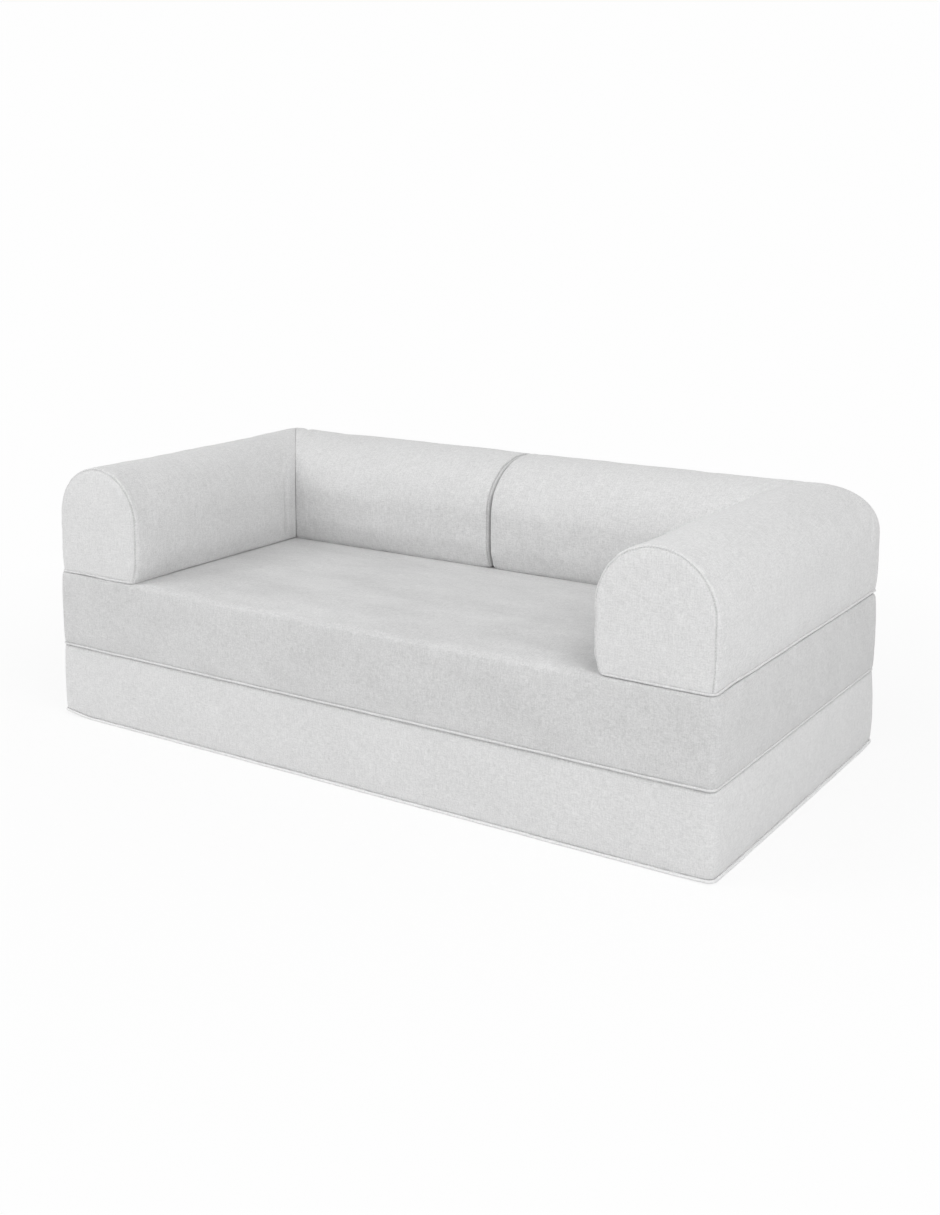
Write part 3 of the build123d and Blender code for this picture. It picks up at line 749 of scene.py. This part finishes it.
def limb(name, arm, side, seed):
    """One padded limb of a bolster: sleeve, end panel and base cloth, closed at the mitre.

    Notes on its points: how far round the section, how far from its end, and how far from the mitre.
    """
    stretch = 1 if arm else STRETCH

    def put(points, depth):
        """Places section points at a depth behind the limb's end."""
        across, up = points[:, 0] * stretch, points[:, 1] + SEAT_LEVEL
        if arm:
            return np.column_stack([side * (ARM_X + across), ARM_FRONT + depth, up])
        return np.column_stack([side * (CENTRE_END - depth), BACK_Y - across, up])

    full = section(0)
    round_by = girth(full * (stretch, 1))
    girth_half = round_by[SIDE_STEPS + TOP_STEPS // 2]
    mitre = (BACK_Y - STRETCH * full[:, 0] - ARM_FRONT) if arm else (CENTRE_END - ARM_X - full[:, 0])
    if arm:
        shares = np.concatenate([np.linspace(0, 0.9, 51)[:-1], np.linspace(0.9, 0.99, 13), [0.9975, 1]])
    else:
        outer = mitre[SIDE_STEPS]
        slot = (BOLSTER_ZIP[1] - BOLSTER_SLOT_SHORT, BOLSTER_ZIP[0] + BOLSTER_SLOT_SHORT)
        marks = [(CENTRE_END - x - END_RADIUS) / (outer - END_RADIUS) for x in slot]
        shares = np.concatenate([np.linspace(0, marks[0], 3), np.linspace(*marks, 52)[1:],
                                 np.linspace(marks[1], 0.985, 13)[1:], [0.9975, 1]])
    net = Net()
    rings = []

    def ring(points, depth):
        depths = np.broadcast_to(depth, len(points))
        notes = np.column_stack([round_by, depths, np.maximum(mitre - depths, 0)])
        rings.append(net.add(put(points, depths), notes))

    radius = END_RADIUS if arm else CENTRE_RADIUS
    for depth in END_DEPTHS:
        depth = depth * radius / END_RADIUS
        inset = radius - math.sqrt(radius**2 - (radius - depth) ** 2)
        ring(section(inset), depth)
    for share in shares:
        ring(full, END_RADIUS + share * (mitre - END_RADIUS))
    around = np.full(len(full), SLEEVE)
    around[len(full) - BASE_STEPS:] = UNDER
    ends = np.full(len(full), PANEL)
    for number in range(len(rings) - 1):
        panel = (ends if number < END_DEPTHS.index(SEAM_DEPTH) else around).copy()
        if not arm and number >= len(END_DEPTHS):
            share = shares[number - len(END_DEPTHS):][:2].mean()
            if marks[0] < share < marks[1]:
                panel[ZIP_STEP] = GAP
        net.band(rings[number], rings[number + 1], panel)
    n, m = SIDE_STEPS + TOP_STEPS // 4, TOP_STEPS // 2

    def dome(flat, u, v):
        rise = END_DOME * np.sqrt(16 * u * (1 - u) * v * (1 - v))
        flat[..., 1 if arm else 0] -= rise if arm else -side * rise * 0.5
        return flat

    net.patch(rings[0], n, m, PANEL, dome)
    net.patch(rings[-1], n, m, SLEEVE)
    obj = net.build(name)

    at, marks_at = read(obj.data) / MM, note(obj.data)
    up = at[:, 2] - SEAT_LEVEL
    free = ease((up - 4) / 30) * ease((marks_at[:, 2] - 2) / 40)
    free *= 1 - 0.9 * bell(marks_at[:, 1] - SEAM_DEPTH, 5)
    if not arm:
        on_zip = (np.abs(up - BOLSTER_ZIP_HEIGHT) < SLOT_HALF + 1) & (at[:, 1] > BACK_Y + 150)
        free = np.where(on_zip, 0, free)
        free = np.where(marks_at[:, 1] < SEAM_DEPTH + 1, 0, free)
    swell(obj, 1 - free, SWELL_FIXED + BOLSTER_SWELL * free)
    refine(obj)

    mesh = obj.data
    at, out = read(mesh) / MM, read(mesh, "normal")
    round_at, depth, mitre_at = note(mesh).T
    up, off = at[:, 2] - SEAT_LEVEL, depth - SEAM_DEPTH
    body = ease((up - 2) / 20) * ease(mitre_at / 40)
    move = body * (0.45 * waves(at, 240, seed) + 0.25 * waves(at, 80, seed + 1))
    seam = -2.0 * bell(off, 1.1) + 0.7 * bell(off - 4.5, 3) + 0.5 * bell(off + 4, 3)
    seam += 0.45 * waves(round_at[:, None] * (1, 0, 0), 24, seed + 2) * bell(off - 5, 7)
    seam *= np.where(mitre_at < 0.1, 0, 1)
    # the sleeve is tucked at the inner corner, where the two limbs press on each other
    inner = ease((up - 6) / 30) * ease((225 - up) / 130) * ease((mitre_at - 2) / 12) * (round_at > girth_half)
    inner = inner * (1 if arm else 0.3)
    swollen, from_fold = mitre_at - 22, mitre_at - 45 - up / 20
    tuck = inner * (2.6 * bell(swollen, 14) - 3.6 * bell(from_fold, 6))
    move += (seam + tuck) * ease((up - 1) / 6)
    at = at + out * move[:, None]
    # the long soft tops lie a little lower than the solids'
    low_top = TOP_DROP if arm else TOP_DROP + BACK_TOP_DROP * ease(mitre_at / 150)
    at[:, 2] -= low_top * ease((up - 60) / 240)
    write(mesh, at * MM)
    # painted shade: darker in the end panel's seam groove, along the mitre, at the limb's base on the seat and
    # in the tuck at the inner corner
    crease_shade = np.maximum(0.9 * bell(off, 1.0), 0.5 * bell(mitre_at, 2.2) * ease((215 - up) / 90) * (depth > 20))
    folded = inner * (0.5 * bell(from_fold, 5) + 0.2 * bell(swollen, 18))
    shade(mesh, np.maximum(crease_shade, 0.45 * bell(up - 3, 4)) + folded)

    if not arm:
        cut_slot(mesh, GAP, BOLSTER_HEM)
    dress(obj, round_cloth, flat_cloth, base_cloth, round_cloth)
    sew(obj, SEAM_DEPTH * radius / END_RADIUS)
    return obj


for side, name, seed in ((1, "left", 41), (-1, "right", 67)):
    for arm in (True, False):
        part = "arm" if arm else "back"
        obj = limb(f"{name}_{part}_padded", arm, side, seed + (0 if arm else 9))
        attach(obj, f"{name}_bolster")
        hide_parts(*(f"{name}_{part}_{piece}" for piece in ("cover", "core", "end_panel", "base_panel")))


# --------------------------------------------------------------------- piping

TUBE_SIDES, PATH_STEP = 10, 9.0


def tube(name, path, radius, closed, seed, wander, cloth=welt_cloth):
    """Round piping along millimetre points, a little uneven, in a mesh that carries its cloth coordinates."""
    path = np.asarray(path, float)
    count = len(path)
    ahead = np.roll(path, -1, axis=0) - np.roll(path, 1, axis=0)
    if not closed:
        ahead[0], ahead[-1] = path[1] - path[0], path[-1] - path[-2]
    ahead /= np.linalg.norm(ahead, axis=1)[:, None]
    steps = np.linalg.norm(np.diff(path, axis=0), axis=1)
    along = np.concatenate([[0], np.cumsum(steps)])
    across = np.cross(ahead, (0.0, 0.0, 1.0))
    across /= np.linalg.norm(across, axis=1)[:, None]
    rise = np.cross(across, ahead)
    uneven = 1 + 0.05 * waves(path, 38, seed + 5)
    lift = wander * waves(path, 150, seed + 6) * 0.6
    turns = np.arange(TUBE_SIDES) / TUBE_SIDES * 2 * math.pi
    ring = (np.cos(turns)[None, :, None] * across[:, None] + np.sin(turns)[None, :, None] * rise[:, None])
    points = path[:, None] + ring * (radius * uneven)[:, None, None] + (rise * lift[:, None])[:, None]
    notes = np.zeros((count, TUBE_SIDES, 3))
    notes[..., 0], notes[..., 1] = along[:, None], turns * radius
    obj = make(name, points.reshape(-1, 3), sleeve(count, TUBE_SIDES, closed), notes.reshape(-1, 3))
    dress(obj, cloth)
    return obj


def rounded_path(corners, radii, closed):
    """Points about a step apart along straight runs joined by round corners."""
    corners = [np.array(c, float) for c in corners]
    count = len(corners)
    points = []
    for k in range(count):
        if not closed and k in (0, count - 1):
            points.append([corners[k]])
            continue
        before, here, after = corners[k - 1], corners[k], corners[(k + 1) % count]
        a, b = before - here, after - here
        a, b = a / np.linalg.norm(a), b / np.linalg.norm(b)
        half = math.acos(np.clip(a @ b, -1, 1)) / 2
        radius = radii[k] if np.ndim(radii) else radii
        back = radius / math.tan(half)
        middle = here + (a + b) / np.linalg.norm(a + b) * radius / math.sin(half)
        start, end = here + a * back - middle, here + b * back - middle
        sweep = math.pi - 2 * half
        steps = max(3, math.ceil(sweep * radius / (PATH_STEP * 0.6)))
        arc = []
        for t in np.linspace(0, 1, steps + 1):
            spoke = start * math.sin((1 - t) * sweep) + end * math.sin(t * sweep)
            arc.append(middle + spoke / math.sin(sweep))
        points.append(arc)
    path = []
    for k, group in enumerate(points):
        path += group
        if k < count - 1 or closed:
            start, end = group[-1], points[(k + 1) % count][0]
            steps = max(1, round(np.linalg.norm(end - start) / PATH_STEP))
            path += [start + (end - start) * t for t in np.linspace(0, 1, steps + 1)[1:-1]]
    return np.array(path)


def loop_path(half_x, front, back, level):
    """Round a mattress, from its front left corner."""
    corners = [(-half_x, front, level), (half_x, front, level), (half_x, back, level), (-half_x, back, level)]
    return rounded_path(corners, CORNER, True)


# the floor piping: its radius and level, how far off the mattress's round edge it is, and how far in again
FLOOR_WELT, FLOOR_WELT_LEVEL, FLOOR_WELT_AWAY, FLOOR_WELT_SUNK = 3.5, 4.2, 3.8, 0.2
# the seam's piping: its radius, how far up it is, and how far in from the sides, the rear and the fold's axis
SEAM_WELT, SEAM_WELT_UP, SEAM_WELT_SIDE, SEAM_WELT_BACK, SEAM_WELT_FRONT = 2.9, 1.6, 2.2, 2.0, 1.8

floor_out = math.sqrt((FLOOR_EDGE + FLOOR_WELT_AWAY) ** 2 - (FLOOR_EDGE - FLOOR_WELT_LEVEL) ** 2)
floor_out -= FLOOR_EDGE + FLOOR_WELT_SUNK
floor_loop = loop_path(HALF_X + floor_out, -HALF_Y - floor_out, HALF_Y + floor_out, FLOOR_WELT_LEVEL)
lower_welt = tube("lower_base_piping", floor_loop, FLOOR_WELT, True, 101, 0.3, floor_welt_cloth)
points = read(lower_welt.data) / MM
points[:, 2] += corner_lift(points)
write(lower_welt.data, points * MM)
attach(lower_welt, "lower_mattress")
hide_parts("lower_base_welt")
seam_loop = loop_path(HALF_X - SEAM_WELT_SIDE, FOLD_AXIS[0] + SEAM_WELT_FRONT, HALF_Y - SEAM_WELT_BACK,
                      FOLD_LEVEL + SEAM_WELT_UP)
upper_welt = tube("upper_base_piping", seam_loop, SEAM_WELT, True, 111, 0.45)
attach(upper_welt, "upper_mattress")
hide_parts("upper_base_welt")

# the bolsters' piping: its radius and level, and how far out from the middle of its limb it lies
WELT, WELT_LEVEL = 3.01, SEAT_LEVEL + 3.7
WELT_OUT, WELT_IN, WELT_BACK, WELT_AHEAD = 139.0, 125.8, 136.5, -0.6
WELT_TURN, WELT_REAR_TURN, WELT_JOIN, WELT_LAP = 15.0, 5.0, 40.0, 10.0
WELT_RISE, WELT_PRESSED = 1.5, 0.4

for side, name, seed in ((1, "left", 121), (-1, "right", 131)):
    outer_x, inner_x = ARM_X - WELT_OUT, ARM_X + WELT_IN
    outer_y, inner_y = BACK_Y + STRETCH * WELT_BACK, BACK_Y - STRETCH * WELT_IN
    front = ARM_FRONT - WELT_AHEAD
    join_x = outer_x + WELT_JOIN
    spots = [(join_x, outer_y), (outer_x, outer_y), (outer_x, front), (inner_x, front), (inner_x, inner_y)]
    arm_path = rounded_path([(side * x, y, WELT_LEVEL) for x, y in spots],
                            (0, WELT_REAR_TURN, WELT_TURN, WELT_TURN, 0), False)
    # pressed down at the front, and a little off the mattress along the sides
    arm_path[:, 2] += (WELT_RISE + WELT_PRESSED) * ease((arm_path[:, 1] - front - 12) / 90) - WELT_PRESSED
    piping = tube(f"{name}_arm_piping", arm_path, WELT, False, seed, 0.9)
    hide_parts(f"{name}_arm_welt")
    ends = []
    runs = (("outer", outer_y, join_x - WELT_LAP, WELT_RISE), ("inner", inner_y, inner_x, 0))
    for where, y, start, rise in runs:
        run = [(side * x, y, WELT_LEVEL + rise) for x in (start, CENTRE_END - END_RADIUS)]
        run = rounded_path(run, 1, False)
        ends.append(tube(f"{name}_back_piping_{where}", run, WELT, False, seed + int(y > 0) * 3, 0.2))
    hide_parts(f"{name}_back_welt")
    for obj in (piping, *ends):
        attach(obj, f"{name}_bolster")


# --------------------------------------------------------------- cloth hinges


def hinge_cloth(name, x_from, x_to, axis, way, radius, low_reach, high_reach):
    """Strip of cloth sewn to both bodies and folded behind a hinge's cord. way is +1 where they lie at +y."""
    y, z = axis
    near, inner = y + way * radius, y + way * (radius + 0.5)
    steps = np.linspace(-0.1, 0.1, 9)
    outline = [(y + way * low_reach, z - 0.5), (near, z - 0.5)]
    outline += [(near, z + d) for d in steps]
    outline += [(near, z + 0.5), (y + way * high_reach, z + 0.5), (y + way * high_reach, z + 0.1)]
    outline += [(inner, z + d) for d in steps[::-1]]
    outline += [(y + way * low_reach, z - 0.1)]
    stations = np.linspace(x_from, x_to, max(2, round(abs(x_to - x_from) / 20)) + 1)
    points = [(x, py, pz) for x in stations for py, pz in outline]
    obj = make(name, points, sleeve(len(stations), len(outline)))
    dress(obj, tape_cloth)
    flatten(obj.data)
    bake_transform(obj)
    return obj


FOLD_STRIP_HALF, BACK_STRIP = 900.0, (-880.0, -40.0)
CORD, CORD_STATIONS = 3.4, 90

fold_cloth = hinge_cloth("fold_hinge_cloth", -FOLD_STRIP_HALF, FOLD_STRIP_HALF, FOLD_AXIS, 1, 4.75, 19, 27)
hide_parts("fold_hinge_tape_lower", "fold_hinge_tape_upper")
for side, name, seed in ((1, "left", 151), (-1, "right", 161)):
    start, end = (side * x for x in BACK_STRIP)
    strip = hinge_cloth(f"{name}_hinge_cloth", start, end, BACK_AXIS, -1, 3.75, 22, 33)
    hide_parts(f"{name}_hinge_tape_seat", f"{name}_hinge_tape_back")
    path = [(x, *BACK_AXIS) for x in np.linspace(start, end, CORD_STATIONS)]
    cord = tube(f"{name}_hinge_piping", path, CORD, False, seed, 0.0)
    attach(cord, "upper_mattress")
    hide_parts(f"{name}_hinge_cord")


# ------------------------------------------------------------------------ zips

NECK_WIDTH, NECK_HEIGHT, STOP_LENGTH = 2.4, 1.5, 3.0
TOOTH_PITCH, TOOTH_LENGTH, TOOTH_SIDES = 1.7, 1.5, 6
# how far a turn of the coil reaches to its own side of the chain's middle, and past it
TOOTH_REACH, TOOTH_LAP = 2.8, 1.0


def solid_box(low, high):
    """Corners and faces of a box."""
    corners = [(x, y, z) for z in (low[2], high[2]) for y in (low[1], high[1]) for x in (low[0], high[0])]
    return corners, [(0, 2, 3, 1), (4, 5, 7, 6), (0, 1, 5, 4), (2, 6, 7, 3), (0, 4, 6, 2), (1, 3, 7, 5)]


def tooth(x, head, tip, near, far):
    """One turn of a coil, lying across the chain and narrowing at both ends."""
    middle, half = (head + tip) / 2, (tip - head) / 2
    taper = 0.12 * (far - near)
    rings = ((near, 0.55), (near + taper, 1), (far - taper, 1), (far, 0.55))
    points = []
    for z, size in rings:
        for turn in range(TOOTH_SIDES):
            a = math.tau * turn / TOOTH_SIDES
            points.append((x + TOOTH_LENGTH / 2 * size * math.cos(a), middle + half * size * math.sin(a), z))
    return points, sleeve(len(rings), TOOTH_SIDES)


def zip_coil(prefix, body):
    """Closed zip coil: its sewn neck, the meshed turns of both sides and a stop at each end."""
    chain = f"{prefix}_zip_chain"
    low, high = (np.array(corner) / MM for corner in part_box(chain))
    level, foot, tip = (low[2] + high[2]) / 2, low[1], high[1]
    head = foot + NECK_HEIGHT
    neck = NECK_WIDTH / 2
    parts = [solid_box((low[0] + 0.2, foot, level - neck), (high[0] - 0.2, head + 0.3, level + neck))]
    for x in (low[0], high[0] - STOP_LENGTH):
        parts.append(solid_box((x, foot, low[2]), (x + STOP_LENGTH, tip, high[2])))
    spots = np.arange(low[0] + STOP_LENGTH + TOOTH_PITCH, high[0] - STOP_LENGTH - TOOTH_PITCH, TOOTH_PITCH / 2)
    for number, x in enumerate(spots):
        side = 1 if number % 2 else -1
        parts.append(tooth(x, head, tip, level - side * TOOTH_LAP, level + side * TOOTH_REACH))
    points, faces = [], []
    for corners, sides in parts:
        faces += [tuple(len(points) + i for i in face) for face in sides]
        points += corners
    obj = make(f"{prefix}_zip_coil", points, faces)
    dress(obj, zip_nylon)
    flatten(obj.data)
    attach(obj, body)
    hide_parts(chain)


for prefix, kind in (("lower", "mattress"), ("upper", "mattress"), ("left", "bolster"), ("right", "bolster")):
    zip_coil(prefix, f"{prefix}_{kind}")
    for node, material in (("zip_tapes", tape_cloth), ("zip_slider", zip_metal), ("zip_pull", zip_metal)):
        piece = nodes[f"{prefix}_{node}"]
        piece.data.materials.clear()
        piece.data.materials.append(material)
        if material is zip_metal:
            edge = piece.modifiers.new("edges", "BEVEL")
            edge.width, edge.segments, edge.limit_method = 0.25 * MM, 2, "ANGLE"


# ----------------------------------------------------- floor, light and camera

FLOOR_HALF = 9000.0
BACKDROP, SKY_LIGHT = 0.99, 0.593
LAMPS_AIM = (0, 0, 0.3)
CAMERA_PLACE, CAMERA_DOWN, CAMERA_ROUND = (2.136, -3.236, 1.391), 8.65, 33.66


def area(name, place, size, power):
    """A rectangular lamp."""
    light = bpy.data.lights.new(name, "AREA")
    light.shape, light.size, light.size_y, light.energy = "RECTANGLE", size[0], size[1], power
    obj = bpy.data.objects.new(name, light)
    obj.location = place
    way = np.array(LAMPS_AIM) - place
    yaw, pitch = math.atan2(-way[0], way[1]), math.atan2(way[2], math.hypot(way[0], way[1]))
    obj.rotation_euler = (math.pi / 2 + pitch, 0, yaw)
    bpy.context.scene.collection.objects.link(obj)


def background():
    """Plain pale surroundings: white to the eye, and softer as a light on the sofa."""
    world = bpy.data.worlds.new("studio")
    bpy.context.scene.world = world
    s = Nodes(world, "ShaderNodeOutputWorld")
    seen = s.fed("ShaderNodeBackground", grey(BACKDROP), 1.0)
    lit = s.fed("ShaderNodeBackground", grey(1.0), SKY_LIGHT)
    rays = s.new("ShaderNodeLightPath")
    either = s.math("MAXIMUM", rays.outputs["Is Camera Ray"], rays.outputs["Is Glossy Ray"])
    s.link(s.blend(either, lit.outputs[0], seen.outputs[0]), s.surface)


def floor():
    """Pale floor that keeps the sofa's shadow and fades into the backdrop away from it."""
    s = Shader("floor_paint")
    s.shader.inputs["Base Color"].default_value = grey(0.92)
    s.shader.inputs["Roughness"].default_value = 0.9
    glow = s.fed("ShaderNodeEmission", grey(BACKDROP), 1.0)
    away = s.vector("LENGTH", s.new("ShaderNodeTexCoord").outputs["Object"])
    seen = s.new("ShaderNodeLightPath").outputs["Is Camera Ray"]
    share = s.math("MULTIPLY", seen, s.ranged(away, 0.9, 2.4, 0.84, 1.0))
    s.link(s.blend(share, s.shader.outputs[0], glow.outputs[0]), s.surface)
    corners = [(x * FLOOR_HALF, y * FLOOR_HALF, 0) for x, y in ((-1, -1), (1, -1), (1, 1), (-1, 1))]
    obj = make("floor", corners, [(0, 1, 2, 3)])
    obj.data.materials.append(s.material)


floor()
background()
area("right_high", (3.2, -1.6, 3.6), (2.8, 2.8), 76.5)
area("left_high", (-3.2, -2.8, 3.2), (3.2, 3.2), 69.4)
area("front", (1.2, -4.6, 2.4), (3.0, 2.2), 16.9)

camera = bpy.data.cameras.new("camera")
camera.lens, camera.sensor_width = 44.88, 36.0
camera.shift_x, camera.shift_y = 0.0155, -0.1456
camera.clip_start, camera.clip_end = 0.1, 60.0
camera_at = bpy.data.objects.new("camera", camera)
camera_at.location = CAMERA_PLACE
camera_at.rotation_euler = (math.radians(90 - CAMERA_DOWN), 0, math.radians(CAMERA_ROUND))
bpy.context.scene.collection.objects.link(camera_at)
bpy.context.scene.camera = camera_at
bpy.context.scene.view_settings.view_transform = "Standard"
